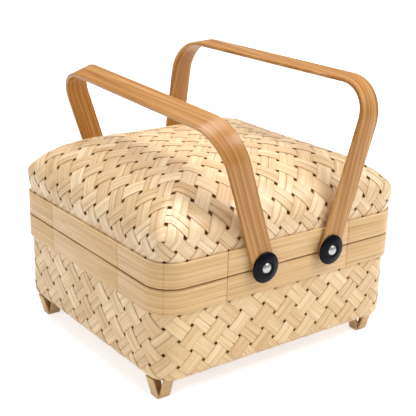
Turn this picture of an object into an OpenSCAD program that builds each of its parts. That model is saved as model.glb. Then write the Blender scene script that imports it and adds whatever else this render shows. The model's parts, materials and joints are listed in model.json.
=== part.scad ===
// Plaited bamboo sewing basket with one lift-off lid and two swinging handles.
// Millimetres, +Z up, origin on the table under the middle of the basket.
// X runs along the long sides, where the handles are riveted. Front is -Y, left is -X.

/* [Basket] */
// Length over the rim bands, along X
basket_l = 240; // [220:5:300]
// Width over the rim bands, along Y
basket_w = 220; // [200:5:260]
// Radius of the rounded upright corners, on the outside of the rim bands
corner_r = 22; // [18:1:28]
// Height of the woven body, from its base to the parting line
body_h = 76.5; // [60:0.5:100]
// Thickness of the woven body wall and base
body_wall = 2.1; // [1.6:0.1:3]

/* [Rim bands] */
// Thickness of the flat outer bands
band_t = 1.8; // [1.2:0.1:2.4]
// Height of the band round the top of the body
body_band_h = 19.6; // [16:0.1:24]
// Height of the band round the lid
lid_band_h = 19.4; // [16:0.1:24]
// Dark line left open between the two bands
parting_gap = 0.8; // [0.5:0.1:1.2]
// Reach of a corner band from the corner along each side
corner_reach = 59; // [45:1:70]
// Butt gap between neighbouring bands
seam_gap = 0.3; // [0.2:0.1:0.5]

/* [Inner bands] */
// Thickness of the collar that stands up inside the lid
collar_t = 2; // [1.6:0.1:2.4]
// Height of the collar above the parting line
collar_rise = 11; // [9:1:14]
// Depth of the collar below the parting line
collar_drop = 20; // [15:1:30]
// Thickness of the lid's inner band
inner_band_t = 2; // [1.6:0.1:2.4]
// Height of the lid's inner band, which rests on the collar
inner_band_h = 8; // [6:0.5:9]

/* [Lid] */
// Thickness of the woven lid
lid_wall = 1.6; // [1.2:0.1:2]
// Height of the lid's crown above the parting line
crown_h = 73; // [60:1:76]
// Height of the four lid corners above the parting line
corner_tip_h = 39; // [34:1:44]
// Height where the middles of the sides start to curve in, above the parting line
side_roll_h = 26; // [20:1:30]

/* [Feet] */
// Height of the feet
foot_h = 18.5; // [14:0.5:24]
// Width of a foot where it meets the base
foot_top = 22; // [20:1:30]
// Width of a foot on the table
foot_bottom = 11; // [10:1:14]
// Width of the bent splints of a foot
splint_w = 9; // [6:1:9]
// Thickness of the bent splints of a foot
splint_t = 1.5; // [1.2:0.1:2]
// Inset of a foot's middle from the ends of the basket
foot_inset_x = 15.5; // [15:0.5:30]
// Inset of a foot's middle from the sides of the basket
foot_inset_y = 22; // [17:1:30]

/* [Handles] */
// Width of the bent straps
strap_w = 20; // [18:1:26]
// Thickness of the bent straps
strap_t = 3; // [2.5:0.1:4]
// Outer radius of the strap's two bends
bend_r = 32; // [30:1:45]
// Gap between the rim bands and the strap's inner face
strap_gap = 1.2; // [0.8:0.1:2]
// Length of the left handle's front leg, from its pivot to the top of the bar
left_front_h = 116; // [105:1:145]
// Length of the left handle's back leg
left_back_h = 128; // [105:1:145]
// Lean of the left handle to the left, as it stands at rest
left_lean = 18.5; // [10:0.5:24]
// Length of the right handle's front leg, from its pivot to the top of the bar
right_front_h = 135; // [105:1:145]
// Length of the right handle's back leg
right_back_h = 136; // [105:1:145]
// Lean of the right handle's front leg to the right, as it stands at rest
right_front_lean = 17.5; // [8:0.5:20]
// Lean of the right handle's back leg
right_back_lean = 7; // [4:0.5:20]
// Tilt of the right handle's bar, which is bent flatter than its legs lean
right_bar_tilt = -4; // [-6:1:16]
// Distance from the basket's middle to the left handle's pivots
left_pivot = 29; // [27:1:40]
// Distance from the basket's middle to the right handle's pivots
right_pivot = 38; // [27:1:40]
// Height of the pivots above the parting line
pivot_rise = 2; // [2:0.1:2.2]

/* [Pivots] */
// Diameter of the domed plastic washers
washer_d = 24.4; // [20:0.2:26]
// Height of the dome of a washer
washer_h = 3.4; // [2.5:0.1:4]
// Diameter of the recess round the rivet head
recess_d = 11.2; // [10:0.1:13]
// Diameter of the rivet head
rivet_head_d = 8.4; // [7:0.1:9.5]
// Diameter of the rivet shoulder that the strap turns on
shoulder_d = 4.4; // [4:0.1:4.4]
// Diameter of the rivet's thin end, clinched inside the collar
tenon_d = 3.2; // [2.5:0.1:3.4]
// Diameter of the small burr washer under the clinched end
burr_d = 9; // [7:0.5:11]

/* [Hidden] */

bamboo = [0.89, 0.76, 0.55];
band_colour = [0.91, 0.79, 0.58];
caramel = [0.80, 0.56, 0.29];
black = [0.05, 0.06, 0.09];
steel = [0.72, 0.71, 0.69];

half_l = basket_l / 2;
half_w = basket_w / 2;
parting_z = foot_h + body_h;
body_band_top = parting_z - parting_gap / 2;
lid_band_bottom = parting_z + parting_gap / 2;
lid_band_top = lid_band_bottom + lid_band_h;
collar_top = parting_z + collar_rise;
// Insets from the outside of the bands, going inwards; the inner bands fit with a small gap
snug = 0.15;
weave_inset = band_t;
body_inside = weave_inset + body_wall;
lid_inside = weave_inset + lid_wall;
collar_inset = body_inside + snug;
inner_band_inset = lid_inside + snug;
pivot_z = parting_z + pivot_rise;
running = 0.05;
notch_w = shoulder_d + 1;
strap_in = half_w + strap_gap;
strap_out = strap_in + strap_t;
washer_y = strap_out + 0.1;
washer_edge = 1.2;
recess_depth = 1.2;
rivet_head_h = 1.9;
burr_t = 1;
clinch_d = 6;
clinch_h = 1.6;
// The woven lid starts above the rivets, behind its band
lid_weave_z = pivot_z + notch_w / 2 + 0.6;
body_weave_top = body_band_top - 1;
base_round = 5;

// A block with upright rounded corners, standing on the given height
module rounded_block(inset, z, h) {
    lx = basket_l - 2 * inset;
    ly = basket_w - 2 * inset;
    r = corner_r - inset;
    translate([0, 0, z + h / 2]) {
        cube([lx - 2 * r, ly, h], center = true);
        cube([lx, ly - 2 * r, h], center = true);
        for (sx = [-1, 1], sy = [-1, 1])
            translate([sx * (lx / 2 - r), sy * (ly / 2 - r), 0])
                cylinder(h = h, r = r, center = true, $fn = 96);
    }
}

// A closed band that follows the basket's outline
module ring(inset, t, z, h) {
    difference() {
        rounded_block(inset, z, h);
        rounded_block(inset + t, z - 1, h + 2);
    }
}

// The holes of both rivets on one long side, which is at the sign side
module rivet_holes(side, d, y0, y1) {
    for (x = [-left_pivot, right_pivot])
        translate([x, side * (y0 + y1) / 2, pivot_z])
            rotate([90, 0, 0])
                cylinder(h = y1 - y0, d = d, center = true, $fn = 48);
}

// Notches, open below, that let the lid band pass down over the rivet shoulders
module rivet_notches(side) {
    depth = 6;
    rivet_holes(side, notch_w, half_w - depth, half_w + depth);
    for (x = [-left_pivot, right_pivot])
        translate([x, side * half_w, pivot_z - notch_w])
            cube([notch_w, 2 * depth, 2 * notch_w], center = true);
}

// Part of a band between two corner bands: along X on the long sides, else along Y
module side_band(along_x, side, z, h) {
    reach = corner_reach + seam_gap / 2;
    long = (along_x ? basket_l : basket_w) - 2 * reach;
    size = along_x ? [long, 4 * corner_r, 3 * h] : [4 * corner_r, long, 3 * h];
    place = along_x ? [0, side * half_w, z] : [side * half_l, 0, z];
    intersection() {
        ring(0, band_t, z, h);
        translate(place)
            cube(size, center = true);
    }
}

// Part of a band that wraps one corner and reaches along both sides
module corner_band(sx, sy, z, h) {
    reach = corner_reach - seam_gap / 2;
    intersection() {
        ring(0, band_t, z, h);
        translate([sx * (half_l - reach / 2), sy * (half_w - reach / 2), z])
            cube([reach, reach, 3 * h], center = true);
    }
}

// Points round a rounded rectangle, the same number in every quarter
corner_steps = 8;
side_steps = 8;
function quarter(hx, hy, r) = concat(
    [for (i = [0:side_steps - 1]) [hx, (hy - r) * i / side_steps]],
    [for (i = [0:corner_steps - 1]) let (a = 90 * i / corner_steps)
        [hx - r + r * cos(a), hy - r + r * sin(a)]],
    [for (i = [0:side_steps - 1]) [(hx - r) * (1 - i / side_steps), hy]]);
function turned(p, k) = k == 0 ? p : k == 1 ? [-p[1], p[0]] : k == 2 ? [-p[0], -p[1]] : [p[1], -p[0]];
function outline(hx, hy, r) = concat(
    quarter(hx, hy, r),
    [for (p = quarter(hy, hx, r)) turned(p, 1)],
    [for (p = quarter(hx, hy, r)) turned(p, 2)],
    [for (p = quarter(hy, hx, r)) turned(p, 3)]);
ring_n = 4 * (2 * side_steps + corner_steps);

// A solid between stacked rings of points, closed by a fan at both ends
module lofted(rings, first, last) {
    n = len(rings);
    points = concat([first], [for (r = rings) each r], [last]);
    end = len(points) - 1;
    function at(k, i) = 1 + k * ring_n + (i % ring_n);
    polyhedron(points = points, faces = concat(
        [for (i = [0:ring_n - 1]) [0, at(0, i), at(0, i + 1)]],
        [for (k = [0:n - 2], i = [0:ring_n - 1]) each [
            [at(k, i), at(k + 1, i), at(k + 1, i + 1)],
            [at(k, i), at(k + 1, i + 1), at(k, i + 1)]]],
        [for (i = [0:ring_n - 1]) [end, at(n - 1, i + 1), at(n - 1, i)]]));
}

// One flat ring of the body wall at a height, drawn in by the given inset
function flat_ring(inset, z) =
    [for (p = outline(half_l - inset, half_w - inset, max(corner_r - inset, 4))) [p[0], p[1], z]];

// The body's lower edge is rounded, so its rings are drawn in near the base
round_steps = 4;
function body_rings(inset, z, top) = concat(
    [for (i = [0:round_steps]) let (a = 90 * i / round_steps)
        flat_ring(inset + base_round * (1 - sin(a)), z + base_round * (1 - cos(a)))],
    [flat_ring(inset, top)]);

module body_weave() {
    outer = body_rings(weave_inset, foot_h, body_weave_top);
    inner = body_rings(body_inside, foot_h + body_wall, body_weave_top);
    flipped = [for (k = [len(inner) - 1:-1:0]) inner[k]];
    color(bamboo)
        lofted(concat(outer, flipped), [0, 0, foot_h], [0, 0, foot_h + body_wall]);
}

module body_collar() {
    color(band_colour)
        difference() {
            ring(collar_inset, collar_t, parting_z - collar_drop, collar_drop + collar_rise);
            for (side = [-1, 1])
                rivet_holes(side, tenon_d, half_w - collar_inset - 2 * collar_t, half_w);
        }
}

// Height of the lid's outside: q is 1 at the edge and 0 at the crown, and
// u is 0 at the middle of a side and 1 on a corner's diagonal. The ridge that
// runs in from a corner softens away from it
edge_power = 3.3;
roll_power = 0.58;
ridge_power = 2;
ridge_softness = 0.3;
function ridge(q, u) = sqrt(pow(1 - u, 2) + pow(ridge_softness, 2) * (1 - q));
function edge_z(q, u, drop) = parting_z + side_roll_h
    + (corner_tip_h - side_roll_h) * pow(max(0, 1 - ridge(q, u)), ridge_power) - drop;
function spread(q, u) = min(1, q * (1 + u + ridge(q, u)) / 2);
function lid_z(q, u, drop) = edge_z(q, u, drop)
    + (parting_z + crown_h - drop - edge_z(q, u, drop))
        * pow(1 - pow(spread(q, u), edge_power), roll_power);
function nearness(p) = let (a = abs(p[0]) / half_l, b = abs(p[1]) / half_w) min(a, b) / max(a, b);
lid_steps = [1, 0.995, 0.985, 0.965, 0.93, 0.88, 0.8, 0.68, 0.54, 0.38, 0.2];
function lid_ring(q, inset, drop) =
    [for (p = outline(half_l - inset, half_w - inset, corner_r - inset))
        [p[0] * q, p[1] * q, lid_z(q, nearness(p), drop)]];
function lid_rings(inset, drop) = concat(
    [flat_ring(inset, lid_weave_z)],
    [for (q = lid_steps) lid_ring(q, inset, drop)]);

module lid_weave() {
    outer = lid_rings(weave_inset, 0);
    inner = lid_rings(lid_inside, lid_wall);
    crown = parting_z + crown_h;
    color(bamboo)
        lofted(concat([for (k = [len(inner) - 1:-1:0]) inner[k]], outer),
            [0, 0, crown - lid_wall], [0, 0, crown]);
}

module lid_inner_band() {
    color(band_colour)
        ring(inner_band_inset, inner_band_t, collar_top, inner_band_h);
}

module body_side_band(along_x, side) {
    color(band_colour)
        side_band(along_x, side, body_band_top - body_band_h, body_band_h);
}

module body_corner_band(sx, sy) {
    color(band_colour)
        corner_band(sx, sy, body_band_top - body_band_h, body_band_h);
}

module lid_side_band(along_x, side) {
    color(band_colour)
        difference() {
            side_band(along_x, side, lid_band_bottom, lid_band_h);
            if (along_x)
                rivet_notches(side);
        }
}

module lid_corner_band(sx, sy) {
    color(band_colour)
        corner_band(sx, sy, lid_band_bottom, lid_band_h);
}

// One splint bent like a shallow trough, standing on the given height
module splint_loop(z) {
    t = splint_t;
    h = foot_h - z;
    slope = (foot_top - foot_bottom) / 2 / foot_h;
    low = foot_bottom / 2 + slope * z;
    top = foot_top / 2;
    rotate([90, 0, 0])
        linear_extrude(height = splint_w, center = true)
            polygon([[-low, z], [low, z], [top, foot_h], [top - 1.1 * t, foot_h],
                [low - 0.8 * t, z + t], [-low + 0.8 * t, z + t],
                [-top + 1.1 * t, foot_h], [-top, foot_h]]);
}

// A foot is two splint loops that cross, one lying on the other
module foot(sx, sy) {
    color(bamboo)
        translate([sx * (half_l - foot_inset_x), sy * (half_w - foot_inset_y), 0]) {
            splint_loop(0);
            rotate([0, 0, 90])
                splint_loop(splint_t);
        }
}

// Vector helpers for the straps
function unit(v) = v / norm(v);
function square_to(v, t) = unit(v - (v * t) * t);
function leg_way(lean) = [sin(lean), 0, cos(lean)];
function leg_side(lean) = [cos(lean), 0, -sin(lean)];

// Stations round one bend, from the leg to the bar: each is a point on the strap's
// middle surface, the way the strap runs there and its width direction
bend_steps = 14;
function bend(corner, leg, bar, side0, side1) =
    let (turn = acos(leg * bar),
        r = bend_r - strap_t / 2,
        start = corner - leg * r * tan(turn / 2),
        inward = unit(bar - (bar * leg) * leg))
    [for (i = [0:bend_steps]) let (
        a = turn * i / bend_steps,
        way = leg * cos(a) + inward * sin(a),
        share = i / bend_steps)
        [start + r * (leg * sin(a) + inward * (1 - cos(a))), way,
            square_to(side0 * (1 - share) + side1 * share, way)]];

// Stations of a leg's round end below its pivot, whose last value is the share of the width
end_steps = 12;
function round_end(pivot, way, side) =
    [for (i = [0:end_steps]) let (a = 6 + 84 * i / end_steps)
        [pivot - way * cos(a) * strap_w / 2, way, side, sin(a)]];

// A bent strap from the front pivot over the bar to the back pivot, round at both ends
module strap(front_h, back_h, front_lean, back_lean, tilt) {
    y = strap_in + strap_t / 2;
    front = [0, -y, 0] + leg_way(front_lean) * (front_h - strap_t / 2);
    back = [0, y, 0] + leg_way(back_lean) * (back_h - strap_t / 2);
    bar = unit(back - front);
    bar_side = square_to(leg_side(tilt), bar);
    rise = bend(front, leg_way(front_lean), bar, leg_side(front_lean), bar_side);
    fall = bend(back, leg_way(back_lean), -bar, leg_side(back_lean), bar_side);
    down = [for (i = [bend_steps:-1:0]) [fall[i][0], -fall[i][1], fall[i][2]]];
    foot = round_end([0, -y, 0], leg_way(front_lean), leg_side(front_lean));
    far_foot = round_end([0, y, 0], leg_way(back_lean), leg_side(back_lean));
    end = [for (i = [end_steps:-1:0]) let (s = far_foot[i]) [s[0], -s[1], s[2], s[3]]];
    stations = concat(foot, [for (s = rise) concat(s, 1)], [for (s = down) concat(s, 1)], end);
    n = len(stations);
    points = [for (s = stations) let (
        out = cross(s[2], s[1]) * strap_t / 2,
        side = s[2] * s[3] * strap_w / 2)
        each [s[0] - side - out, s[0] + side - out, s[0] + side + out, s[0] - side + out]];
    polyhedron(points = points, faces = concat(
        [[3, 2, 1, 0]],
        [for (k = [0:n - 2], i = [0:3]) let (a = 4 * k + i, b = 4 * k + (i + 1) % 4)
            each [[a, b, b + 4], [a, b + 4, a + 4]]],
        [[for (i = [0:3]) 4 * (n - 1) + i]]));
}

// A handle, bored for the rivet shoulders
module handle(x, front_h, back_h, front_lean, back_lean, tilt) {
    color(caramel)
        translate([x, 0, pivot_z])
            difference() {
                strap(front_h, back_h, front_lean, back_lean, tilt);
                rotate([90, 0, 0])
                    cylinder(h = 3 * strap_out, d = shoulder_d + 2 * running, center = true, $fn = 48);
            }
}

// Both ends of one rivet line: its children point outwards along +Z from the strap's face
module both_sides(x, y) {
    for (side = [-1, 1])
        translate([x, side * y, pivot_z])
            rotate([side > 0 ? -90 : 90, 0, 0])
                children();
}

// Domed plastic washer with a flat recess round the rivet head
module washer() {
    dome_rise = washer_h - washer_edge;
    half = washer_d / 2;
    // A sphere whose cap is as high as the dome and as wide as the washer
    dome_r = (pow(half, 2) + pow(dome_rise, 2)) / (2 * dome_rise);
    difference() {
        union() {
            cylinder(h = washer_edge, d = washer_d, $fn = 96);
            intersection() {
                translate([0, 0, washer_edge])
                    cylinder(h = dome_rise, d = washer_d, $fn = 96);
                translate([0, 0, washer_h - dome_r])
                    sphere(r = dome_r, $fn = 96);
            }
        }
        translate([0, 0, washer_h - recess_depth])
            cylinder(h = washer_h, d = recess_d, $fn = 96);
        translate([0, 0, -1])
            cylinder(h = washer_h + 2, d = shoulder_d, $fn = 48);
    }
}

// Rivet with a shoulder for the strap and a thin end through the collar
module rivet() {
    seat = washer_h - recess_depth;
    collar_face = washer_y - (half_w - collar_inset);
    clinch_face = collar_face + collar_t + burr_t;
    head_r = (pow(rivet_head_d / 2, 2) + pow(rivet_head_h, 2)) / (2 * rivet_head_h);
    intersection() {
        translate([0, 0, seat])
            cylinder(h = rivet_head_h, d = rivet_head_d, $fn = 48);
        translate([0, 0, seat + rivet_head_h - head_r])
            sphere(r = head_r, $fn = 96);
    }
    translate([0, 0, -collar_face])
        cylinder(h = collar_face + seat, d = shoulder_d, $fn = 48);
    translate([0, 0, -clinch_face])
        cylinder(h = clinch_face - collar_face, d = tenon_d, $fn = 48);
    translate([0, 0, -clinch_face - clinch_h])
        cylinder(h = clinch_h, d = clinch_d, $fn = 48);
}

// Small washer under the clinched end, against the inside of the collar
module burr() {
    inner_face = washer_y - (half_w - collar_inset) + collar_t;
    translate([0, 0, -inner_face - burr_t])
        difference() {
            cylinder(h = burr_t, d = burr_d, $fn = 48);
            translate([0, 0, -1])
                cylinder(h = burr_t + 2, d = tenon_d, $fn = 48);
        }
}

module washers(x) {
    color(black)
        both_sides(x, washer_y)
            washer();
}

module rivets(x) {
    color(steel)
        both_sides(x, washer_y)
            rivet();
}

module burrs(x) {
    color(steel)
        both_sides(x, washer_y)
            burr();
}

body_weave();
body_collar();
body_side_band(true, -1);  // body_rim_front
body_side_band(true, 1);  // body_rim_back
body_side_band(false, -1);  // body_rim_left
body_side_band(false, 1);  // body_rim_right
body_corner_band(-1, -1);  // body_corner_front_left
body_corner_band(1, -1);  // body_corner_front_right
body_corner_band(-1, 1);  // body_corner_back_left
body_corner_band(1, 1);  // body_corner_back_right
foot(-1, -1);  // foot_front_left
foot(1, -1);  // foot_front_right
foot(-1, 1);  // foot_back_left
foot(1, 1);  // foot_back_right
lid_weave();
lid_inner_band();
lid_side_band(true, -1);  // lid_rim_front
lid_side_band(true, 1);  // lid_rim_back
lid_side_band(false, -1);  // lid_rim_left
lid_side_band(false, 1);  // lid_rim_right
lid_corner_band(-1, -1);  // lid_corner_front_left
lid_corner_band(1, -1);  // lid_corner_front_right
lid_corner_band(-1, 1);  // lid_corner_back_left
lid_corner_band(1, 1);  // lid_corner_back_right
handle(-left_pivot, left_front_h, left_back_h, -left_lean, -left_lean, -left_lean);  // handle_left
washers(-left_pivot);  // handle_left_washers
rivets(-left_pivot);  // handle_left_rivets
burrs(-left_pivot);  // handle_left_burrs
handle(right_pivot, right_front_h, right_back_h,  // handle_right
        right_front_lean, right_back_lean, right_bar_tilt);
washers(right_pivot);  // handle_right_washers
rivets(right_pivot);  // handle_right_rivets
burrs(right_pivot);  // handle_right_burrs
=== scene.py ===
# Looks of the plaited bamboo sewing basket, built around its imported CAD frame
import json
import math

import bpy
import numpy as np
from mathutils import Matrix, Vector

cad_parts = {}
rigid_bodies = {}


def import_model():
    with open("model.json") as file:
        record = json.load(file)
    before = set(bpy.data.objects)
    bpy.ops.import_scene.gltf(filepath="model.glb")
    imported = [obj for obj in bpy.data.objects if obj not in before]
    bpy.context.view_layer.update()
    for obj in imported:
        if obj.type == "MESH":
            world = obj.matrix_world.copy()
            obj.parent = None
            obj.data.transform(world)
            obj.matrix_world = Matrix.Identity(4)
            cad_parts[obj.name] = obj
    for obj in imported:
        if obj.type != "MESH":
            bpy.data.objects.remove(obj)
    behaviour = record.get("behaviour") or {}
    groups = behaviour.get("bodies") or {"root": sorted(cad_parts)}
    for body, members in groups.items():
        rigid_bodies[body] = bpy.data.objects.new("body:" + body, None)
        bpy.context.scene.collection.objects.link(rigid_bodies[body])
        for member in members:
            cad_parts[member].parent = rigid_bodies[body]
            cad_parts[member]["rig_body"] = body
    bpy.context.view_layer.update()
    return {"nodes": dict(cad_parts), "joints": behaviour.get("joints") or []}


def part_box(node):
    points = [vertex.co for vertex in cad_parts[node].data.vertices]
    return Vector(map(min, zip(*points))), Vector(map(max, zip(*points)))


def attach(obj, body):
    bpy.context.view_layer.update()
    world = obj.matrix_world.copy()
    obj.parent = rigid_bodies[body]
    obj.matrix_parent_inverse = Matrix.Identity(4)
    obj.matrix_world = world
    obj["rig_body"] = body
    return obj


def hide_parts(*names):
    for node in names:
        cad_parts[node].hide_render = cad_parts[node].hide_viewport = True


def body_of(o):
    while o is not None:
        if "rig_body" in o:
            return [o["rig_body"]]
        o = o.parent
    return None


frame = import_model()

bl_info = {
    "name": "Plaited sewing basket",
    "version": (1, 0, 0),
    "blender": (4, 5, 0),
    "location": "View3D > Sidebar > Basket",
    "description": "Models the plait, bands, feet, handles and pivots of a bamboo sewing basket",
    "category": "Object",
}

MM = 0.001
TINY = 1e-9

# Places and sizes that come from the frame, in metres
BODY_LOW, BODY_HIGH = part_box("body_weave")
LID_LOW, LID_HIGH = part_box("lid_weave")
BAND_LOW, BAND_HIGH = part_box("body_rim_front")
LID_BAND_LOW, LID_BAND_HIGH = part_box("lid_rim_front")
PARTING_Z = (BAND_HIGH.z + LID_BAND_LOW.z) / 2
HALF_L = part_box("body_rim_right")[1].x
HALF_W = -BAND_LOW.y

SIDES = ("front", "right", "back", "left")
CORNERS = ("front_left", "front_right", "back_left", "back_right")
PIVOT_SIDES = ("left", "right")


class BasketSizes(bpy.types.PropertyGroup):
    """Sizes of the plait and of the rounding of the other pieces' edges."""

    splint_width: bpy.props.FloatProperty(
        name="Splint width", description="Width of one splint of a pair",
        default=6.9 * MM, min=5 * MM, max=8 * MM, unit="LENGTH")
    splint_gap: bpy.props.FloatProperty(
        name="Splint gap", description="Gap between the two splints of a pair",
        default=0.04 * MM, min=0.02 * MM, max=1 * MM, unit="LENGTH")
    splint_thickness: bpy.props.FloatProperty(
        name="Splint thickness", description="Thickness of a splint of the plait",
        default=0.56 * MM, min=0.4 * MM, max=0.6 * MM, unit="LENGTH")
    plait_rise: bpy.props.FloatProperty(
        name="Plait rise", description="How far a splint rises over the one that it crosses",
        default=0.33 * MM, min=0.3 * MM, max=1 * MM, unit="LENGTH")
    corner_radius: bpy.props.FloatProperty(
        name="Corner radius", description="Radius of the upright corners, outside the bands",
        default=22 * MM, min=18 * MM, max=28 * MM, unit="LENGTH")
    tip_radius: bpy.props.FloatProperty(
        name="Tip radius", description="Radius of the lid's corners at their tips",
        default=11 * MM, min=4 * MM, max=20 * MM, unit="LENGTH")
    tip_height: bpy.props.FloatProperty(
        name="Tip height", description="Height of the lid's corner tips above the parting line",
        default=37 * MM, min=34 * MM, max=44 * MM, unit="LENGTH")
    side_roll_height: bpy.props.FloatProperty(
        name="Side roll height", description="Height where the lid's sides start to curve in",
        default=26 * MM, min=20 * MM, max=30 * MM, unit="LENGTH")
    band_edge: bpy.props.FloatProperty(
        name="Band edge", description="Rounding of the edges of the bands",
        default=0.45 * MM, min=0.1 * MM, max=0.8 * MM, unit="LENGTH")
    strap_edge: bpy.props.FloatProperty(
        name="Strap edge", description="Rounding of the edges of the handles",
        default=0.8 * MM, min=0.2 * MM, max=1.5 * MM, unit="LENGTH")
    foot_edge: bpy.props.FloatProperty(
        name="Foot edge", description="Rounding of the edges of the feet",
        default=0.3 * MM, min=0.1 * MM, max=0.6 * MM, unit="LENGTH")
    washer_edge: bpy.props.FloatProperty(
        name="Washer edge", description="Rounding of the edges of the domed washers",
        default=0.35 * MM, min=0.1 * MM, max=0.6 * MM, unit="LENGTH")
    rivet_edge: bpy.props.FloatProperty(
        name="Rivet edge", description="Rounding of the edges of the rivets and burrs",
        default=0.2 * MM, min=0.05 * MM, max=0.3 * MM, unit="LENGTH")


class BasketColours(bpy.types.PropertyGroup):
    """Colours of the bamboo, the plastic and the steel."""

    straw: bpy.props.FloatVectorProperty(
        name="Straw", description="Palest splints of the plait",
        default=(0.85, 0.632, 0.365), min=0, max=1, subtype="COLOR")
    tan: bpy.props.FloatVectorProperty(
        name="Tan", description="Darkest splints of the plait",
        default=(0.52, 0.28, 0.10), min=0, max=1, subtype="COLOR")
    # The next two colours are painted shade, seen through the plait's holes on the inner layer's
    # outer side
    hole_shade_dark: bpy.props.FloatVectorProperty(
        name="Dark of the holes", description="Darkest of what shows in the plait's holes",
        default=(0.10, 0.040, 0.012), min=0, max=1, subtype="COLOR")
    hole_shade_light: bpy.props.FloatVectorProperty(
        name="Light of the holes", description="Lightest of what shows in the plait's holes",
        default=(0.24, 0.11, 0.04), min=0, max=1, subtype="COLOR")
    lining_dark: bpy.props.FloatVectorProperty(
        name="Dark inside", description="Darker grain of the plait seen from inside",
        default=(0.46, 0.28, 0.12), min=0, max=1, subtype="COLOR")
    lining_light: bpy.props.FloatVectorProperty(
        name="Light inside", description="Paler grain of the plait seen from inside",
        default=(0.80, 0.58, 0.32), min=0, max=1, subtype="COLOR")
    band_pale: bpy.props.FloatVectorProperty(
        name="Pale band", description="Pale grain of the bands",
        default=(0.68, 0.435, 0.20), min=0, max=1, subtype="COLOR")
    band_brown: bpy.props.FloatVectorProperty(
        name="Brown band", description="Dark streaks of the bands",
        default=(0.38, 0.18, 0.055), min=0, max=1, subtype="COLOR")
    caramel_pale: bpy.props.FloatVectorProperty(
        name="Pale caramel", description="Pale grain of the handles",
        default=(0.42, 0.176, 0.025), min=0, max=1, subtype="COLOR")
    caramel_dark: bpy.props.FloatVectorProperty(
        name="Dark caramel", description="Dark grain of the handles",
        default=(0.22, 0.072, 0.011), min=0, max=1, subtype="COLOR")
    black: bpy.props.FloatVectorProperty(
        name="Black", description="Domed plastic washers",
        default=(0.003, 0.003, 0.005), min=0, max=1, subtype="COLOR")
    steel: bpy.props.FloatVectorProperty(
        name="Steel", description="Rivets and burrs",
        default=(0.44, 0.43, 0.41), min=0, max=1, subtype="COLOR")


def sizes():
    return bpy.context.scene.basket_sizes


def colours():
    return bpy.context.scene.basket_colours


# Outline of the basket

def rounded_outline(side, f, half_x, half_y, radius):
    """Point on a rounded rectangle. Side 0 is the front and they go round to the right.
    f runs from -1 at one corner's diagonal to 1 at the next one's, evenly along the edge."""
    even = side % 2 == 0
    reach = np.where(even, half_x, half_y)
    depth = np.where(even, half_y, half_x)
    # The radius stays just short of half the shorter side
    radius = np.minimum(radius, np.minimum(reach, depth) * 0.999)
    straight = reach - radius
    along_edge = f * (straight + math.pi / 4 * radius)
    bend = np.maximum(np.abs(along_edge) - straight, 0) / np.maximum(radius, TINY)
    round_the_bend = np.sign(along_edge) * (straight + radius * np.sin(bend))
    along = np.where(bend > 0, round_the_bend, along_edge)
    out = depth - radius * (1 - np.cos(bend))
    x = np.choose(side, [along, out, -along, -out])
    y = np.choose(side, [-out, along, out, -along])
    return x, y


# Lattice of the plait. Its unit is half a cell. The flat middle is a rectangle
# of the shape's own cells each way, and the walls hang from its four folds.

def lattice_place(cells, i, j, wall):
    """Side, place along it and row of a lattice point. Rows above 0 are on the wall."""
    nx, ny = cells
    inside = (np.abs(i) <= nx) & (np.abs(j) <= ny)
    near_front_or_back = np.abs(j) / ny >= np.abs(i) / nx
    own = np.where(near_front_or_back, np.where(j < 0, 0, 2), np.where(i > 0, 1, 3))
    side = np.where(inside, own, wall)
    along = np.choose(side, [i, j, -i, -j])
    row = np.choose(side, [-j - ny, i - nx, j - ny, -i - nx])
    count = np.where(side % 2 == 0, nx, ny)
    neighbour = np.where(side % 2 == 0, ny, nx)
    past = (np.abs(along) > count) & ~inside
    step = np.sign(along).astype(int)
    along = np.where(past, along - step * (count + neighbour), along)
    side = np.where(past, (side + step) % 4, side)
    return side, along, row


def share_of_side(cells, side, along, row):
    """q is 1 at the fold and 0 in the middle; f is the place along the side's own stretch."""
    nx, ny = cells
    count = np.where(side % 2 == 0, nx, ny)
    depth = np.where(side % 2 == 0, ny, nx)
    q = np.where(row < 0, 1 + row / depth, 1.0)
    f = np.clip(along / (count * np.maximum(q, TINY)), -1, 1)
    return q, f


class BodyShape:
    """Middle surface of the plaited body: a flat base, a rounded lower edge and walls."""

    outward = -1
    seed = 6
    cells = (10, 9)
    half_cell = 11.4 * MM
    row_height = 10.6 * MM
    wall = 2.1 * MM
    edge_radius = 5 * MM
    # Share of the way out over the base where its outline starts to get round corners
    square_middle = 0.75
    # How much narrower the splints are than the width given for them
    narrower = 0.0

    def __init__(self):
        self.half_x = BODY_HIGH.x - self.wall / 2
        self.half_y = BODY_HIGH.y - self.wall / 2
        self.radius = sizes().corner_radius - (HALF_L - self.half_x)
        self.base_z = BODY_LOW.z + self.wall / 2
        folded = self.edge_radius * (1 - math.pi / 4)
        self.rows = (BODY_HIGH.z - self.base_z - folded) / self.row_height

    def point(self, i, j, wall):
        side, along, row = lattice_place(self.cells, i, j, wall)
        q, f = share_of_side(self.cells, side, along, row)
        edge = self.edge_radius
        half_bend = edge * math.pi / 4
        rise = np.maximum(row, 0) * self.row_height
        depths = []
        for half in (self.half_x, self.half_y):
            flat = half - edge
            route = q * (flat + half_bend) + rise
            bend = np.clip((route - flat) / edge, 0, math.pi / 2)
            depths.append(np.where(bend > 0, flat + edge * np.sin(bend), route))
            past = route - flat - edge * math.pi / 2
            depths.append(np.where(past > 0, edge + past, edge * (1 - np.cos(bend))))
        reach_x, height_x, reach_y, height_y = depths
        z = self.base_z + np.where(side % 2 == 0, height_y, height_x)
        inset = np.where(side % 2 == 0, self.half_y - reach_y, self.half_x - reach_x)
        rounding = np.clip((q - self.square_middle) / (1 - self.square_middle), 0, 1)
        radius = np.maximum(self.radius - inset, 0) * rounding
        x, y = rounded_outline(side, f, reach_x, reach_y, radius)
        return np.stack([x, y, z], -1)


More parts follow.
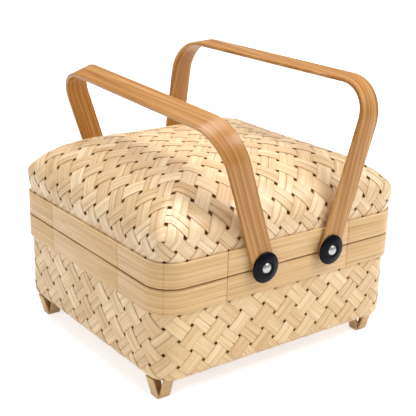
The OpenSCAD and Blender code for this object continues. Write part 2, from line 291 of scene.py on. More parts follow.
class LidShape:
    """Middle surface of the pillow-shaped lid, whose corners stand up in soft tips."""

    outward = 1
    seed = 16
    cells = (12, 11)
    half_cell = 9.6 * MM
    row_height = 9.6 * MM
    wall = 1.6 * MM
    # The cells are smaller than on the body and the gaps are not
    narrower = 1.332 * MM
    # Powers and softness of the dome and of the ridges that run in from its corners
    edge_power = 3.3
    roll_power = 0.58
    ridge_power = 2
    ridge_softness = 0.3
    # How fast the outline's radius goes from the band's to the tip's
    tip_taper = 0.7
    # How much closer together the rows lie at the crown than at the fold
    closing = 0.25
    # The plait is drawn together round the tips, by this share and over this many half cells
    gather = 0.12
    gather_reach = 6.0
    # Rows of wall that the tables cover, and their numbers of samples
    table_rows = 4
    side_samples = 161
    dome_samples = 120
    wall_samples = 19
    route_samples = 321

    def __init__(self):
        self.half_x = LID_HIGH.x - self.wall / 2
        self.half_y = LID_HIGH.y - self.wall / 2
        self.radius = sizes().corner_radius - (HALF_L - self.half_x)
        self.crown_z = LID_HIGH.z - self.wall / 2
        self.tip_z = PARTING_Z + sizes().tip_height
        self.roll_z = PARTING_Z + sizes().side_roll_height
        self.rows = (self.tip_z - LID_LOW.z) / self.row_height
        self.tables = [self.meridians(kind) for kind in (0, 1)]

    def meridians(self, kind):
        """Share of the outline and height along lines from the rim to the crown, over the
        place f on the side and the route g, which is -1 at the lowest row of the table, 0
        at the fold and 1 at the crown."""
        f = np.linspace(-1, 1, self.side_samples)
        side = np.full(f.shape, kind)
        x, y = rounded_outline(side, f, self.half_x, self.half_y, sizes().tip_radius)
        u, v = np.abs(x) / self.half_x, np.abs(y) / self.half_y
        near = np.minimum(u, v) / np.maximum(u, v)
        share = np.sin(math.pi / 2 * np.linspace(1, 0, self.dome_samples))
        # The ridge that runs in from a corner softens away from it
        away = 1 - near[:, None]
        ridge = np.sqrt(away ** 2 + self.ridge_softness ** 2 * (1 - share[None]))
        stands = np.maximum(1 - ridge, 0) ** self.ridge_power
        edge_z = self.roll_z + (self.tip_z - self.roll_z) * stands
        spread = np.minimum(share[None] * (2 - away + ridge) / 2, 1)
        dome = edge_z + (self.crown_z - edge_z) * (
            1 - spread ** self.edge_power) ** self.roll_power
        start = self.tip_z - self.table_rows * self.row_height
        climb = np.linspace(0, 1, self.wall_samples, endpoint=False)[None]
        wall = start + (dome[:, :1] - start) * climb
        z = np.concatenate([wall, dome], 1)
        p = np.concatenate([np.ones(wall.shape), np.repeat(share[None], len(f), 0)], 1)
        steps = np.sqrt(sum(np.diff(way) ** 2 for way in (x[:, None] * p, y[:, None] * p, z)))
        route = np.concatenate([np.zeros((len(f), 1)), np.cumsum(steps, 1)], 1)
        fold = self.tip_z - start
        g = np.linspace(-1, 1, self.route_samples)
        out = np.zeros((len(f), len(g), 2))
        for n in range(len(f)):
            target = np.where(g < 0, fold * (1 + g), fold + g * (route[n, -1] - fold))
            out[n, :, 0] = np.interp(target, route[n], p[n])
            out[n, :, 1] = np.interp(target, route[n], z[n])
        return out

    def gathered(self, i, j):
        """Lattice places drawn towards the nearest tip."""
        nx, ny = self.cells
        corner_i, corner_j = np.where(i < 0, -nx, nx), np.where(j < 0, -ny, ny)
        di, dj = i - corner_i, j - corner_j
        pull = 1 - self.gather * np.exp(-(di ** 2 + dj ** 2) / self.gather_reach ** 2)
        return corner_i + di * pull, corner_j + dj * pull

    def point(self, i, j, wall):
        i, j = self.gathered(i, j)
        side, along, row = lattice_place(self.cells, i, j, wall)
        q, f = share_of_side(self.cells, side, along, row)
        g = np.where(row > 0, -row / self.table_rows, (1 - q) * (1 + self.closing * q))
        even = side % 2 == 0
        sampled = np.where(even[..., None], table_value(self.tables[0], f, g),
                           table_value(self.tables[1], f, g))
        share, z = sampled[..., 0], sampled[..., 1]
        band_top = LID_BAND_HIGH.z
        lift = np.clip((z - band_top) / (self.tip_z - band_top), 0, 1)
        radius = self.radius + (sizes().tip_radius - self.radius) * lift ** self.tip_taper
        x, y = rounded_outline(side, f, self.half_x, self.half_y, radius)
        return np.stack([x * share, y * share, z], -1)


def table_value(table, f, g):
    """Value of a table at f and g, both from -1 to 1, blended between its entries."""
    rows, columns = table.shape[:2]
    a = np.clip((f + 1) / 2 * (rows - 1), 0, rows - 1.001)
    b = np.clip((g + 1) / 2 * (columns - 1), 0, columns - 1.001)
    a0, b0 = a.astype(int), b.astype(int)
    da, db = (a - a0)[..., None], (b - b0)[..., None]
    low = table[a0, b0] * (1 - da) + table[a0 + 1, b0] * da
    high = table[a0, b0 + 1] * (1 - da) + table[a0 + 1, b0 + 1] * da
    return low * (1 - db) + high * db


def surface_frame(shape, i, j, wall):
    """Point and outward normal of a shape at lattice places."""
    step = 0.03
    here = shape.point(i, j, wall)
    di = shape.point(i + step, j, wall) - shape.point(i - step, j, wall)
    dj = shape.point(i, j + step, wall) - shape.point(i, j - step, wall)
    normal = np.cross(di, dj) * shape.outward
    return here, normal / np.linalg.norm(normal, axis=-1, keepdims=True)


# Cross section of a splint: place across it and height, in shares of width and thickness
SPLINT_SECTION = ((-0.5, 0.1), (-0.482, 0.42), (-0.25, 0.5), (0.25, 0.5),
                  (0.482, 0.42), (0.5, 0.1), (0.4, -0.5), (-0.4, -0.5))
# Where the section's points lie across a splint's strip of the map, kept off its ends
SECTION_ON_MAP = np.clip([0.5 + 0.96 * place for place, height in SPLINT_SECTION], 0.02, 0.98)
# How far the map of each splint is shifted along the grain from that of the one before
MAP_SHIFT = 0.37


def tube_faces(stations, around, first):
    """Faces of a closed strip of stations, each a ring of points, with its two ends."""
    faces = []
    for s in range(stations - 1):
        low = first + s * around
        for a in range(around):
            b = (a + 1) % around
            faces.append((low + a, low + b, low + around + b, low + around + a))
    faces.append(tuple(first + a for a in range(around))[::-1])
    last = first + (stations - 1) * around
    faces.append(tuple(last + a for a in range(around)))
    return faces


class StripMesh:
    """Collects splints and makes one object of them, with a map of grain along each."""

    def __init__(self):
        self.points = []
        self.faces = []
        self.uvs = []
        self.count = 0
        self.strips = 0

    def add(self, rings, along, turned_over):
        """rings is stations by ring points by 3; along is the distance of each station.
        The points of a turned over section go round the other way."""
        across = SECTION_ON_MAP
        if turned_over:
            across = across[::-1]
            rings = rings[:, ::-1]
        stations, around = rings.shape[:2]
        self.points.append(rings.reshape(-1, 3))
        self.faces += tube_faces(stations, around, self.count)
        uv = np.zeros((stations, around, 2))
        uv[..., 0] = along[:, None] + MAP_SHIFT * self.strips
        uv[..., 1] = self.strips + across[None]
        self.uvs.append(uv.reshape(-1, 2))
        self.count += stations * around
        self.strips += 1

    def made(self, name):
        mesh = bpy.data.meshes.new(name)
        mesh.from_pydata(np.concatenate(self.points).tolist(), [], self.faces)
        layer = mesh.uv_layers.new(name="grain")
        corners = np.zeros(len(mesh.loops), dtype=np.int32)
        mesh.loops.foreach_get("vertex_index", corners)
        layer.data.foreach_set("uv", np.concatenate(self.uvs)[corners].ravel())
        mesh.update()
        piece = bpy.data.objects.new(name, mesh)
        bpy.context.scene.collection.objects.link(piece)
        return piece


def over_and_under(t, rise):
    """Height of a splint along its way t, in crossings, where it stays up or down for most
    of each one."""
    sharp = 1.7
    return rise * np.tanh(sharp * np.cos(math.pi * t)) / math.tanh(sharp)


# Small differences between the splints: how far a pair and a splint turn about their
# length, the ranges of width and rise, and the waves in which a splint wanders sideways
PAIR_TURN = 0.12
OWN_TURN = 0.06
TURN_HEIGHT = 0.4 * MM
OWN_WIDTH = (0.95, 1.03)
OWN_RISE = (0.92, 1.08)
WANDER = 0.18 * MM
WANDER_RATE = (0.3, 0.7)
WANDER_START = (0, 6.28)
# Stations of a splint for each half cell, and the angle in degrees up to which its
# edges are shaded smooth
STATIONS = 8
SPLINT_SMOOTH_ANGLE = 50


def plait(shape, family, name):
    """All splints of one direction. Family 1 runs along i + j, family -1 along i - j."""
    random = np.random.default_rng(shape.seed + family)
    made = StripMesh()
    nx, ny = shape.cells
    width = sizes().splint_width - shape.narrower
    pitch = width + sizes().splint_gap
    diagonal = shape.half_cell * math.sqrt(2)
    for line in range(-(nx + ny - 1), nx + ny, 2):
        # The element's way over the middle: i = t and j = family * (t - line)
        enter = max(-nx, line - ny)
        leave = min(nx, line + ny)
        t = np.arange(enter - shape.rows, leave + shape.rows, 1 / STATIONS)
        t = np.append(t, leave + shape.rows)
        i = t.copy()
        j = family * (t - line)
        middle = (enter + leave) / 2
        first = wall_at(shape, enter, family * (enter - line))
        last = wall_at(shape, leave, family * (leave - line))
        wall = np.where(t < middle, first, last)
        pair_turn = random.uniform(-PAIR_TURN, PAIR_TURN)
        for half in (-0.5, 0.5):
            own = width * random.uniform(*OWN_WIDTH)
            wander = WANDER * np.sin(
                t * random.uniform(*WANDER_RATE) + random.uniform(*WANDER_START))
            rise = sizes().plait_rise * random.uniform(*OWN_RISE)
            lift = -family * over_and_under(i, rise)
            turn = pair_turn + random.uniform(-OWN_TURN, OWN_TURN)
            rings = []
            for place, height in SPLINT_SECTION:
                offset = (pitch * half + own * place + wander) / diagonal
                # Each edge is cut off level with the rim
                row = lattice_place(shape.cells, i + offset, j - family * offset, wall)[2]
                back = np.where(t < middle, 1, -1) * np.maximum(row - shape.rows, 0)
                here, normal = surface_frame(
                    shape, i + offset + back, j + family * (back - offset), wall)
                up = lift + height * sizes().splint_thickness + turn * place * TURN_HEIGHT
                rings.append(here + normal * up[:, None])
            made.add(np.stack(rings, 1), t * diagonal, shape.outward * family < 0)
    return made.made(name)


# Gap between the splints and the sheet behind them, the sheet's thickness, how near its
# points are merged where its sides meet, and its rows of points on a wall
INNER_GAP = 0.12 * MM
INNER_THICKNESS = 0.25 * MM
INNER_MERGE = 0.02 * MM
INNER_WALL_LINES = 12


def inner_layer_and_hole_shade(shape, name):
    """The plait's plain inner layer, a thin sheet that closes its holes from inside. Its outer side
    is coloured as painted shade seen through the holes.
    """
    nx, ny = shape.cells
    points, faces, places = [], [], []
    depth = sizes().plait_rise + sizes().splint_thickness / 2 + INNER_GAP
    lines = shape.rows * np.linspace(0, 1, INNER_WALL_LINES + 1)[1:]
    for side in range(4):
        count, other = (nx, ny) if side % 2 == 0 else (ny, nx)
        along = np.linspace(-count, count, 4 * count + 1)
        inner = [(row, along * (1 + row / other)) for row in np.arange(-other, 0.01, 0.5)]
        grid = inner + [(row, along) for row in lines]
        first = len(points)
        for row, a in grid:
            level = np.full(a.shape, float(row))
            i = np.choose(side, [a, level + nx, -a, -level - nx])
            j = np.choose(side, [-level - ny, a, level + ny, -a])
            here, normal = surface_frame(shape, i, j, np.full(a.shape, side))
            points += list(here - normal * depth)
            places += list(zip(i, j))
        wide = len(along)
        for r in range(len(grid) - 1):
            for c in range(wide - 1):
                a = first + r * wide + c
                faces.append((a, a + 1, a + wide + 1, a + wide))
    mesh = bpy.data.meshes.new(name)
    mesh.from_pydata(points, [], faces)
    layer = mesh.uv_layers.new(name="grain")
    for loop in mesh.loops:
        layer.data[loop.index].uv = places[loop.vertex_index]
    piece = bpy.data.objects.new(name, mesh)
    bpy.context.scene.collection.objects.link(piece)
    only(piece)
    bpy.ops.object.mode_set(mode="EDIT")
    bpy.ops.mesh.select_all(action="SELECT")
    bpy.ops.mesh.remove_doubles(threshold=INNER_MERGE)
    bpy.ops.mesh.normals_make_consistent(inside=False)
    bpy.ops.object.mode_set(mode="OBJECT")
    wall = piece.modifiers.new("Thickness", "SOLIDIFY")
    wall.thickness = INNER_THICKNESS
    wall.offset = -1
    bpy.ops.object.modifier_apply(modifier=wall.name)
    bpy.ops.object.shade_smooth_by_angle(angle=math.radians(SMOOTH_ANGLE))
    return piece


def wall_at(shape, i, j):
    """The wall that an element meets where it reaches the fold at i, j."""
    if abs(j) == shape.cells[1]:
        return 0 if j < 0 else 2
    return 1 if i > 0 else 3


# Copies of carried-over nodes, finished with rounded edges and a map of their grain

# In degrees: faces this flat are joined, edges this sharp are rounded, and edges softer
# than the last are shaded smooth
FLAT_ANGLE = 0.6
SHARP_ANGLE = 35
SMOOTH_ANGLE = 40
MERGE_DISTANCE = 0.002 * MM


def only(piece):
    """Selects this piece alone and makes it the active one."""
    bpy.ops.object.select_all(action="DESELECT")
    piece.select_set(True)
    bpy.context.view_layer.objects.active = piece


def finished_copy(node, edge, segments=2):
    """A merged copy of a CAD node with its sharp edges rounded. It replaces the node."""
    source = frame["nodes"][node]
    piece = bpy.data.objects.new(node + "_finished", source.data.copy())
    bpy.context.scene.collection.objects.link(piece)
    only(piece)
    bpy.ops.object.mode_set(mode="EDIT")
    bpy.ops.mesh.select_all(action="SELECT")
    bpy.ops.mesh.remove_doubles(threshold=MERGE_DISTANCE)
    bpy.ops.mesh.dissolve_limited(angle_limit=math.radians(FLAT_ANGLE))
    bpy.ops.object.mode_set(mode="OBJECT")
    bevel = piece.modifiers.new("Rounded edges", "BEVEL")
    bevel.width = edge
    bevel.segments = segments
    bevel.limit_method = "ANGLE"
    bevel.angle_limit = math.radians(SHARP_ANGLE)
    bpy.ops.object.modifier_apply(modifier=bevel.name)
    bpy.ops.object.shade_smooth_by_angle(angle=math.radians(SMOOTH_ANGLE))
    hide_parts(node)
    return piece


def map_grain(piece, place):
    """Gives a piece the map that its grain follows; place turns a point into (along, across)."""
    mesh = piece.data
    while mesh.uv_layers:
        mesh.uv_layers.remove(mesh.uv_layers[0])
    layer = mesh.uv_layers.new(name="grain")
    points = [Vector(place(v.co)) for v in mesh.vertices]
    for loop in mesh.loops:
        layer.data[loop.index].uv = points[loop.vertex_index]


# How far the grain shifts across a band for each metre that it shifts along it
BAND_SHIFT_ACROSS = 0.13


def band_grain(shift):
    """Grain that follows the outline of the bands, shifted so that no two bands match."""
    radius = sizes().corner_radius
    flat_x, flat_y = HALF_L - radius, HALF_W - radius

    def place(p):
        over_x, over_y = abs(p.x) - flat_x, abs(p.y) - flat_y
        if over_x > 0 and over_y > 0:
            bend = math.atan2(over_x, over_y)
        else:
            bend = 0 if over_y > over_x else math.pi / 2
        # From the middle of a long side, round the corner, to the middle of a short side
        along = min(abs(p.x), flat_x) + radius * bend
        if bend > 0:
            along += flat_y - min(abs(p.y), flat_y)
        along = math.copysign(along, p.x) * (1 if p.y < 0 else -1)
        return along + shift, p.z + BAND_SHIFT_ACROSS * shift
    return place


def set_material(piece, material):
    """Gives a piece its material."""
    piece.data.materials.clear()
    piece.data.materials.append(material)


# Materials

class Nodes:
    """Short way to write a material's nodes."""

    def __init__(self, name):
        self.material = bpy.data.materials.new(name)
        self.material.use_nodes = True
        self.tree = self.material.node_tree
        self.shader = self.tree.nodes["Principled BSDF"]

    def add(self, kind, **values):
        node = self.tree.nodes.new("ShaderNode" + kind)
        for key, value in values.items():
            if hasattr(node, key):
                setattr(node, key, value)
            else:
                node.inputs[key.replace("_", " ")].default_value = value
        return node

    def link(self, source, target):
        self.tree.links.new(source, target)

    def math(self, operation, a, b=None, c=None):
        node = self.add("Math", operation=operation)
        for n, value in enumerate((a, b, c)):
            if value is None:
                continue
            if isinstance(value, (int, float)):
                node.inputs[n].default_value = value
            else:
                self.link(value, node.inputs[n])
        return node.outputs[0]

    def weighted(self, *parts):
        """Sum of values, each given with its weight."""
        total = None
        for value, weight in parts:
            scaled = self.math("MULTIPLY", value, weight)
            total = scaled if total is None else self.math("ADD", total, scaled)
        return total

    def grain_map(self):
        """The two values of the piece's map: along the grain and across it."""
        split = self.add("SeparateXYZ")
        self.link(self.add("UVMap", uv_map="grain").outputs[0], split.inputs[0])
        return split.outputs[0], split.outputs[1]

    def fine_noise(self, scale, detail):
        """Noise in the piece's own space."""
        noise = self.add("TexNoise", Scale=scale, Detail=detail)
        self.link(self.add("TexCoord").outputs["Object"], noise.inputs["Vector"])
        return noise.outputs[0]

    def near_edge(self, value, power):
        """1 where the value is 0 or 1 and falling off between them, faster with the power."""
        off_middle = self.math("ABSOLUTE", self.math("SUBTRACT", value, 0.5))
        return self.math("POWER", self.math("MULTIPLY", off_middle, 2.0), power)

    def fading(self, value, full, none):
        """1 where the value is full or beyond it, going down to 0 at none."""
        node = self.add("MapRange")
        node.inputs["From Min"].default_value = none
        node.inputs["From Max"].default_value = full
        self.link(value, node.inputs["Value"])
        return node.outputs[0]

    def stretched_noise(self, along, across, x_scale, y_scale, detail=3.0, roughness=0.55):
        """Noise drawn out along the grain; the scales are patches per metre."""
        joined = self.add("CombineXYZ")
        self.link(self.math("MULTIPLY", along, x_scale), joined.inputs[0])
        self.link(self.math("MULTIPLY", across, y_scale), joined.inputs[1])
        noise = self.add("TexNoise", Scale=1.0, Detail=detail, Roughness=roughness)
        self.link(joined.outputs[0], noise.inputs["Vector"])
        return noise.outputs[0]

    def ramp(self, factor, stops):
        node = self.add("ValToRGB")
        ramp = node.color_ramp
        while len(ramp.elements) > len(stops):
            ramp.elements.remove(ramp.elements[-1])
        while len(ramp.elements) < len(stops):
            ramp.elements.new(0.5)
        for element, (place, colour) in zip(ramp.elements, stops):
            element.position = place
            element.color = (*colour, 1)
        self.link(factor, node.inputs[0])
        return node.outputs[0]

    def bump(self, height, strength, distance):
        node = self.add("Bump", Strength=strength, Distance=distance)
        self.link(height, node.inputs["Height"])
        self.link(node.outputs[0], self.shader.inputs["Normal"])

    def constant(self, **values):
        for key, value in values.items():
            self.shader.inputs[key.replace("_", " ")].default_value = value

    def finish(self, colour, noise, rough, varies, strength, depth):
        """Sets the colour, and a roughness and fine relief that both follow a noise."""
        self.link(colour, self.shader.inputs["Base Color"])
        self.link(self.math("MULTIPLY_ADD", noise, varies, rough), self.shader.inputs["Roughness"])
        self.bump(noise, strength, depth)
        return self.material


def blend_of(a, b, share):
    """Colour between a and b, at the given share of the way."""
    return tuple(x + (y - x) * share for x, y in zip(a, b))


def plait_bamboo(name, painted_top_light, gloss):
    """Split bamboo: each splint has its own tint, fine fibres and slightly darker edges, partly the
    splints' own colour and partly painted shade where they meet. The second argument pales the
    colour towards white, as painted light on the lid's top.
    """
    m = Nodes(name)
    straw, tan = blend_of(colours().straw, (1, 1, 1), painted_top_light), tuple(colours().tan)
    along, strip = m.grain_map()
    number = m.math("FLOOR", strip)
    pair_tint = m.add("TexWhiteNoise", noise_dimensions="1D")
    m.link(m.math("FLOOR", m.math("MULTIPLY", number, 0.5)), pair_tint.inputs["W"])
    own_tint = m.add("TexWhiteNoise", noise_dimensions="1D")
    m.link(m.math("ADD", number, 0.3), own_tint.inputs["W"])
    width_across = m.math("MULTIPLY", strip, sizes().splint_width)
    fibres = m.stretched_noise(along, width_across, 30, 2200)
    streaks = m.stretched_noise(along, width_across, 9, 420, detail=2.0)
    patches = m.stretched_noise(along, strip, 24, 0.7, detail=1.0)
    # The two outer edges of a pair are darker than the line between its splints, partly the
    # splints' own edge colour and partly painted shade where they meet
    inner_edge = m.near_edge(m.math("SUBTRACT", strip, number), 12.0)
    outer_edge = m.near_edge(m.math("FRACT", m.math("MULTIPLY", strip, 0.5)), 14.0)
    # Here and there a brown streak
    rare = m.stretched_noise(m.math("ADD", along, 5.0), width_across, 12, 700, detail=2.0)
    shade = m.weighted(
        (pair_tint.outputs[0], 0.17), (own_tint.outputs[0], 0.10), (streaks, 0.42),
        (fibres, 0.24), (patches, 0.26), (inner_edge, 0.06), (outer_edge, 0.33),
        (m.fading(rare, 0.74, 0.60), 0.45))
    colour = m.ramp(shade, [
        (0.30, blend_of(straw, (1, 0.9, 0.72), 0.35)), (0.48, straw),
        (0.66, blend_of(straw, tan, 0.45)), (0.95, tan)])
    m.constant(Specular_IOR_Level=0.5)
    return m.finish(colour, fibres, rough=0.34 - gloss, varies=0.22, strength=0.35, depth=0.12 * MM)


def inner_bamboo_and_hole_shade(name, dark, light):
    """Inner layer of the plait, woven on its own lattice map. Given the hole colours it is painted
    shade seen through the plait's holes, given the lining colours it is the plait seen from inside.
    """
    m = Nodes(name)
    i, j = m.grain_map()
    one, other = m.math("ADD", i, j), m.math("SUBTRACT", i, j)
    over = m.math("MULTIPLY", m.math("SINE", m.math("MULTIPLY", one, math.pi / 2)),
                  m.math("SINE", m.math("MULTIPLY", other, math.pi / 2)))
    grain = m.stretched_noise(one, other, 0.5, 40)
    shade = m.math("MULTIPLY_ADD", grain, 0.7, m.math("MULTIPLY", over, 0.2))
    m.link(m.ramp(shade, [(0.2, tuple(dark)), (0.6, tuple(light))]), m.shader.inputs["Base Color"])
    m.bump(over, 0.5, 0.6 * MM)
    m.constant(Roughness=0.7, Specular_IOR_Level=0.2)
    return m.material


def band_bamboo(name, contrast, bent=False):
    """Flat bamboo band: long grain, with brown streaks whose depth is the contrast."""
    m = Nodes(name)
    pale, brown = tuple(colours().band_pale), tuple(colours().band_brown)
    along, across = m.grain_map()
    fibres = m.stretched_noise(along, across, 18, 1500)
    streaks = m.stretched_noise(along, across, 5, 520, detail=5.0, roughness=0.68)
    # Painted shade along the line where the lid meets the body, and a painted highlight along the
    # lid band's top
    place = m.add("SeparateXYZ")
    m.link(m.add("TexCoord").outputs["Object"], place.inputs[0])
    from_parting = m.math("ABSOLUTE", m.math("SUBTRACT", place.outputs[2], PARTING_Z))
    parting_shade = m.fading(from_parting, 0.4 * MM, 1.6 * MM)
    rim = m.fading(place.outputs[2], LID_BAND_HIGH.z - 0.3 * MM, LID_BAND_HIGH.z - 1.1 * MM)
    parts = [(fibres, 0.25), (streaks, 0.75), (parting_shade, 0.10), (rim, -0.14)]
    if bent:
        # A faint crease where the band turns the corner
        radius = sizes().corner_radius
        past_x = m.math("SUBTRACT", m.math("ABSOLUTE", place.outputs[0]), HALF_L - radius)
        past_y = m.math("SUBTRACT", m.math("ABSOLUTE", place.outputs[1]), HALF_W - radius)
        skew = m.math("ABSOLUTE", m.math("SUBTRACT", past_x, past_y))
        parts.append((m.fading(skew, 0.2 * MM, 1.2 * MM), 0.07))
    colour = m.ramp(m.weighted(*parts), [
        (0.36, blend_of(pale, (1, 0.9, 0.7), 0.2)), (0.47, pale),
        (0.56, blend_of(pale, brown, 0.3 * contrast)),
        (0.66, blend_of(pale, brown, contrast))])
    m.constant(Specular_IOR_Level=0.45)
    return m.finish(colour, fibres, rough=0.34, varies=0.2, strength=0.3, depth=0.1 * MM)


def strap_bamboo():
    """Caramel lacquered bamboo with long streaks."""
    m = Nodes("caramel bamboo")
    pale, dark = tuple(colours().caramel_pale), tuple(colours().caramel_dark)
    along, across = m.grain_map()
    fibres = m.stretched_noise(along, across, 14, 1700)
    streaks = m.stretched_noise(along, across, 5, 300, detail=4.0, roughness=0.62)
    colour = m.ramp(m.weighted((fibres, 0.3), (streaks, 0.7)), [
        (0.33, blend_of(pale, (0.95, 0.74, 0.42), 0.34)), (0.5, pale), (0.70, dark)])
    m.constant(Specular_IOR_Level=0.4, Coat_Weight=0.16, Coat_Roughness=0.25)
    return m.finish(colour, fibres, rough=0.34, varies=0.16, strength=0.25, depth=0.1 * MM)


def glossy_black():
    """Moulded plastic with a faint texture in its gloss."""
    m = Nodes("black plastic")
    grain = m.fine_noise(900.0, 2.0)
    black = tuple(colours().black)
    colour = m.ramp(grain, [(0.3, black), (0.8, blend_of(black, (0.06, 0.065, 0.09), 0.08))])
    m.constant(Specular_IOR_Level=0.06)
    return m.finish(colour, grain, rough=0.12, varies=0.08, strength=0.05, depth=0.05 * MM)


def satin_steel():
    """Rivet steel with fine marks."""
    m = Nodes("satin steel")
    marks = m.fine_noise(1400.0, 4.0)
    steel = tuple(colours().steel)
    colour = m.ramp(marks, [(0.3, blend_of(steel, (0.2, 0.2, 0.2), 0.25)), (0.7, steel)])
    m.constant(Metallic=1.0)
    return m.finish(colour, marks, rough=0.32, varies=0.2, strength=0.1, depth=0.03 * MM)


# Operators, one for each group of pieces

class BASKET_OT_plait(bpy.types.Operator):
    """Plaits the body and the lid from pairs of bamboo splints"""

    bl_idname = "basket.plait"
    bl_label = "Plait body and lid"

    def execute(self, context):
        # Dark painted shade for the inner layer's outer side, seen through the holes, and the pale
        # colours of its inner side
        shaded = inner_bamboo_and_hole_shade("shaded plait", colours().hole_shade_dark, colours().hole_shade_light)
        lining = inner_bamboo_and_hole_shade(
            "inside of the plait", colours().lining_dark, colours().lining_light)
        middle = Vector((0, 0, PARTING_Z))
        # The lid's plait is paled towards white, painted light for the light that falls on its top
        for shape, body, node, painted_top_light, gloss in (
                (BodyShape(), "basket", "body_weave", 0.0, 0.04),
                (LidShape(), "lid", "lid_weave", 0.09, 0.10)):
            material = plait_bamboo("plait bamboo of the " + body, painted_top_light, gloss)
            for family, lay in ((1, "rising"), (-1, "falling")):
                piece = plait(shape, family, node + "_" + lay)
                only(piece)
                bpy.ops.object.shade_smooth_by_angle(angle=math.radians(SPLINT_SMOOTH_ANGLE))
                set_material(piece, material)
                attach(piece, body)
                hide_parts(node)
            piece = inner_layer_and_hole_shade(shape, node + "_inner_layer_and_hole_shade")
            set_material(piece, shaded)
            # The side that looks into the basket is pale, like the plait; the outer side, seen
            # through the holes, is dark painted shade
            piece.data.materials.append(lining)
            for face in piece.data.polygons:
                face.material_index = int(face.normal.dot(face.center - middle) < 0)
            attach(piece, body)
        return {"FINISHED"}


class BASKET_OT_bands(bpy.types.Operator):
    """Finishes the outer bands, the corner bands and the two inner bands"""

    bl_idname = "basket.bands"
    bl_label = "Finish the bands"

    # Shifts of the grain, from each band to the next and of the two inner bands
    side_shift = 1.7
    corner_shift = 1.3
    collar_shift = 0.4
    inner_band_shift = 0.9

    def execute(self, context):
        plain = band_bamboo("side band bamboo", 0.72)
        streaked = band_bamboo("corner band bamboo", 1.0, bent=True)
        inner = band_bamboo("inner band bamboo", 0.4)
        shift = 0.0
        for part, body in (("body", "basket"), ("lid", "lid")):
            for side in SIDES:
                shift += self.side_shift
                self.band(part + "_rim_" + side, body, plain, "side_band", shift)
            for corner in CORNERS:
                shift += self.corner_shift
                self.band(part + "_corner_" + corner, body, streaked, "corner_band", shift)
        for node, body, shift in (("body_collar", "basket", self.collar_shift),
                                  ("lid_inner_band", "lid", self.inner_band_shift)):
            self.band(node, body, inner, "inner_band", shift)
        return {"FINISHED"}

    def band(self, node, body, material, slot, shift):
        piece = finished_copy(node, sizes().band_edge)
        map_grain(piece, band_grain(shift))
        set_material(piece, material)
        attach(piece, body)


class BASKET_OT_feet(bpy.types.Operator):
    """Finishes the four feet of crossed, bent splints"""

    bl_idname = "basket.feet"
    bl_label = "Finish the feet"

    def execute(self, context):
        material = band_bamboo("foot bamboo", 0.5)
        for n, corner in enumerate(CORNERS):
            piece = finished_copy("foot_" + corner, sizes().foot_edge)
            map_grain(piece, lambda p: (p.x + p.z + n, p.y + 0.3 * n))
            set_material(piece, material)
            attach(piece, "basket")
        return {"FINISHED"}


class BASKET_OT_handles(bpy.types.Operator):
    """Finishes the two bent straps"""

    bl_idname = "basket.handles"
    bl_label = "Finish the handles"

    def execute(self, context):
        material = strap_bamboo()
        for side in PIVOT_SIDES:
            piece = finished_copy("handle_" + side, sizes().strap_edge, segments=3)
            map_grain(piece, strap_grain(side))
            set_material(piece, material)
            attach(piece, side + "_handle")
        return {"FINISHED"}


# Mean lean to the right in degrees, mean height of the legs, and what shifts the grain
# along and across so that the two straps do not match
STRAPS = {"left": (-18.5, 122 * MM, 0, 0), "right": (12.2, 135.5 * MM, 3, 0.2)}
BEND_RADIUS = 32 * MM


def strap_grain(side):
    """Grain along the bent strap, from one pivot over the bar to the other."""
    joint = next(j for j in frame["joints"] if j["child"] == side + "_handle")
    pivot = Vector(joint["pos_m"])
    degrees, top, shift_along, shift_across = STRAPS[side]
    lean = math.radians(degrees)
    bend_r = BEND_RADIUS
    leg = top - bend_r
    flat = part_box("handle_" + side)[1].y - bend_r
    total = leg + bend_r * math.pi / 2 + flat

    def place(p):
        x, z = p.x - pivot.x, p.z - pivot.z
        across = x * math.cos(lean) - z * math.sin(lean)
        up = x * math.sin(lean) + z * math.cos(lean)
        y = abs(p.y)
        if up < leg:
            along = up
        elif y > flat:
            along = leg + bend_r * math.atan2(up - leg, y - flat)
        else:
            along = total - y
        along = along if p.y < 0 else 2 * total - along
        return along + shift_along, across + shift_across
    return place


class BASKET_OT_pivots(bpy.types.Operator):
    """Finishes the domed washers, the rivets and the burrs"""

    bl_idname = "basket.pivots"
    bl_label = "Finish the pivots"

    def execute(self, context):
        black, steel = glossy_black(), satin_steel()
        kinds = (("washers", black, "washer", sizes().washer_edge),
                 ("rivets", steel, "rivet", sizes().rivet_edge),
                 ("burrs", steel, "rivet", sizes().rivet_edge))
        for side in PIVOT_SIDES:
            for part, material, slot, edge in kinds:
                node = "handle_" + side + "_" + part
                piece = finished_copy(node, edge, segments=3)
                set_material(piece, material)
                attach(piece, body_of(frame["nodes"][node])[0])
        return {"FINISHED"}


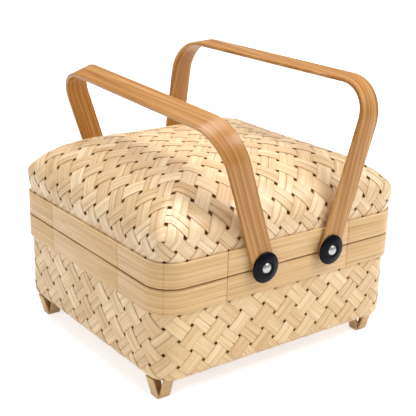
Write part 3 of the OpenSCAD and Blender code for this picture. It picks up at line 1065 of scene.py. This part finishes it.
class BASKET_OT_stage(bpy.types.Operator):
    """Adds the floor, the lamps and the camera"""

    bl_idname = "basket.stage"
    bl_label = "Set the stage"

    floor_side = 14
    floor_white = (0.86, 0.86, 0.86, 1)
    floor_glow = 0.66
    # Strength of the surroundings: as light on the basket, and as the camera sees them
    sky_light = 0.40
    sky_seen = 1.0
    # Name, place, width and power of each lamp; all look at one point in the basket
    lamps = (("key", (0.9, -1.1, 1.6), 0.8, 22.0),
             ("fill", (-1.5, -0.6, 0.9), 1.2, 3.0),
             ("top", (0.0, 0.3, 1.9), 1.2, 32.0))
    lamp_target = (0, 0, 0.1)
    # Where the photograph was taken from: the camera's place, its turn round the basket,
    # its tilt and its roll in degrees, and its focal length and shift in pixels
    camera_place = (-456.1, -609.4, 369.4)
    camera_turns = (-36.94, 19.70, 1.56)
    focal_length = 942.2
    shift_up = 9.03
    image_side = 416
    sensor_width = 36

    def execute(self, context):
        self.floor()
        self.light(context)
        self.camera(context)
        context.scene.view_settings.view_transform = "Standard"
        return {"FINISHED"}

    def floor(self):
        bpy.ops.object.select_all(action="DESELECT")
        bpy.ops.mesh.primitive_plane_add(size=self.floor_side, location=(0, 0, 0))
        floor = bpy.context.object
        floor.name = "floor"
        m = Nodes("white floor")
        m.constant(Base_Color=self.floor_white, Roughness=0.9, Specular_IOR_Level=0.1)
        glow = m.add("Emission")
        both = m.add("AddShader")
        m.link(m.shader.outputs[0], both.inputs[0])
        m.link(glow.outputs[0], both.inputs[1])
        path = m.add("LightPath")
        seen = m.math("MAXIMUM", path.outputs["Is Camera Ray"], path.outputs["Is Glossy Ray"])
        m.link(m.math("MULTIPLY", seen, self.floor_glow), glow.inputs["Strength"])
        m.link(both.outputs[0], m.tree.nodes["Material Output"].inputs["Surface"])
        floor.data.materials.append(m.material)

    def light(self, context):
        world = bpy.data.worlds.new("studio")
        world.use_nodes = True
        context.scene.world = world
        tree = world.node_tree
        tree.nodes.clear()
        out = tree.nodes.new("ShaderNodeOutputWorld")
        back = tree.nodes.new("ShaderNodeBackground")
        path = tree.nodes.new("ShaderNodeLightPath")
        level = tree.nodes.new("ShaderNodeMapRange")
        level.inputs["To Min"].default_value = self.sky_light
        level.inputs["To Max"].default_value = self.sky_seen
        back.inputs["Color"].default_value = (1, 1, 1, 1)
        tree.links.new(path.outputs["Is Camera Ray"], level.inputs[0])
        tree.links.new(level.outputs[0], back.inputs["Strength"])
        tree.links.new(back.outputs[0], out.inputs[0])
        for name, place, width, power in self.lamps:
            lamp = bpy.data.lights.new(name, "AREA")
            lamp.size = width
            lamp.energy = power
            holder = bpy.data.objects.new(name, lamp)
            holder.location = place
            aim = Vector(self.lamp_target) - Vector(place)
            holder.rotation_euler = aim.to_track_quat("-Z", "Y").to_euler()
            context.scene.collection.objects.link(holder)

    def camera(self, context):
        azimuth, elevation, roll = (math.radians(a) for a in self.camera_turns)
        place = Vector(self.camera_place) * MM
        ahead = Vector((-math.sin(azimuth) * math.cos(elevation),
                        math.cos(azimuth) * math.cos(elevation), -math.sin(elevation)))
        right = Vector((math.cos(azimuth), math.sin(azimuth), 0))
        up = right.cross(ahead)
        turned_right = right * math.cos(roll) + up * math.sin(roll)
        turned_up = up * math.cos(roll) - right * math.sin(roll)
        data = bpy.data.cameras.new("camera")
        data.sensor_width = self.sensor_width
        data.lens = self.focal_length * self.sensor_width / self.image_side
        data.shift_y = self.shift_up / self.image_side
        camera = bpy.data.objects.new("camera", data)
        context.scene.collection.objects.link(camera)
        axes = (turned_right, turned_up, -ahead)
        camera.matrix_world = Matrix([[axis[r] for axis in axes] + [place[r]] for r in range(3)]
                                     + [[0, 0, 0, 1]])
        context.scene.camera = camera


class BASKET_PT_panel(bpy.types.Panel):
    """Lists the sizes, the colours and the steps"""

    bl_idname = "BASKET_PT_panel"
    bl_label = "Sewing basket"
    bl_space_type = "VIEW_3D"
    bl_region_type = "UI"
    bl_category = "Basket"

    def draw(self, context):
        layout = self.layout
        for group in (context.scene.basket_sizes, context.scene.basket_colours):
            for name in group.bl_rna.properties.keys():
                if name not in ("rna_type", "name"):
                    layout.prop(group, name)
        for step in STEPS:
            layout.operator(step.bl_idname)


STEPS = (BASKET_OT_plait, BASKET_OT_bands, BASKET_OT_feet, BASKET_OT_handles,
         BASKET_OT_pivots, BASKET_OT_stage)
CLASSES = (BasketSizes, BasketColours, *STEPS, BASKET_PT_panel)


def register():
    for cls in CLASSES:
        bpy.utils.register_class(cls)
    bpy.types.Scene.basket_sizes = bpy.props.PointerProperty(type=BasketSizes)
    bpy.types.Scene.basket_colours = bpy.props.PointerProperty(type=BasketColours)


def unregister():
    del bpy.types.Scene.basket_sizes
    del bpy.types.Scene.basket_colours
    for cls in reversed(CLASSES):
        bpy.utils.unregister_class(cls)


def main():
    register()
    for step in STEPS:
        group, name = step.bl_idname.split(".")
        getattr(getattr(bpy.ops, group), name)()


if __name__ == "__main__":
    main()
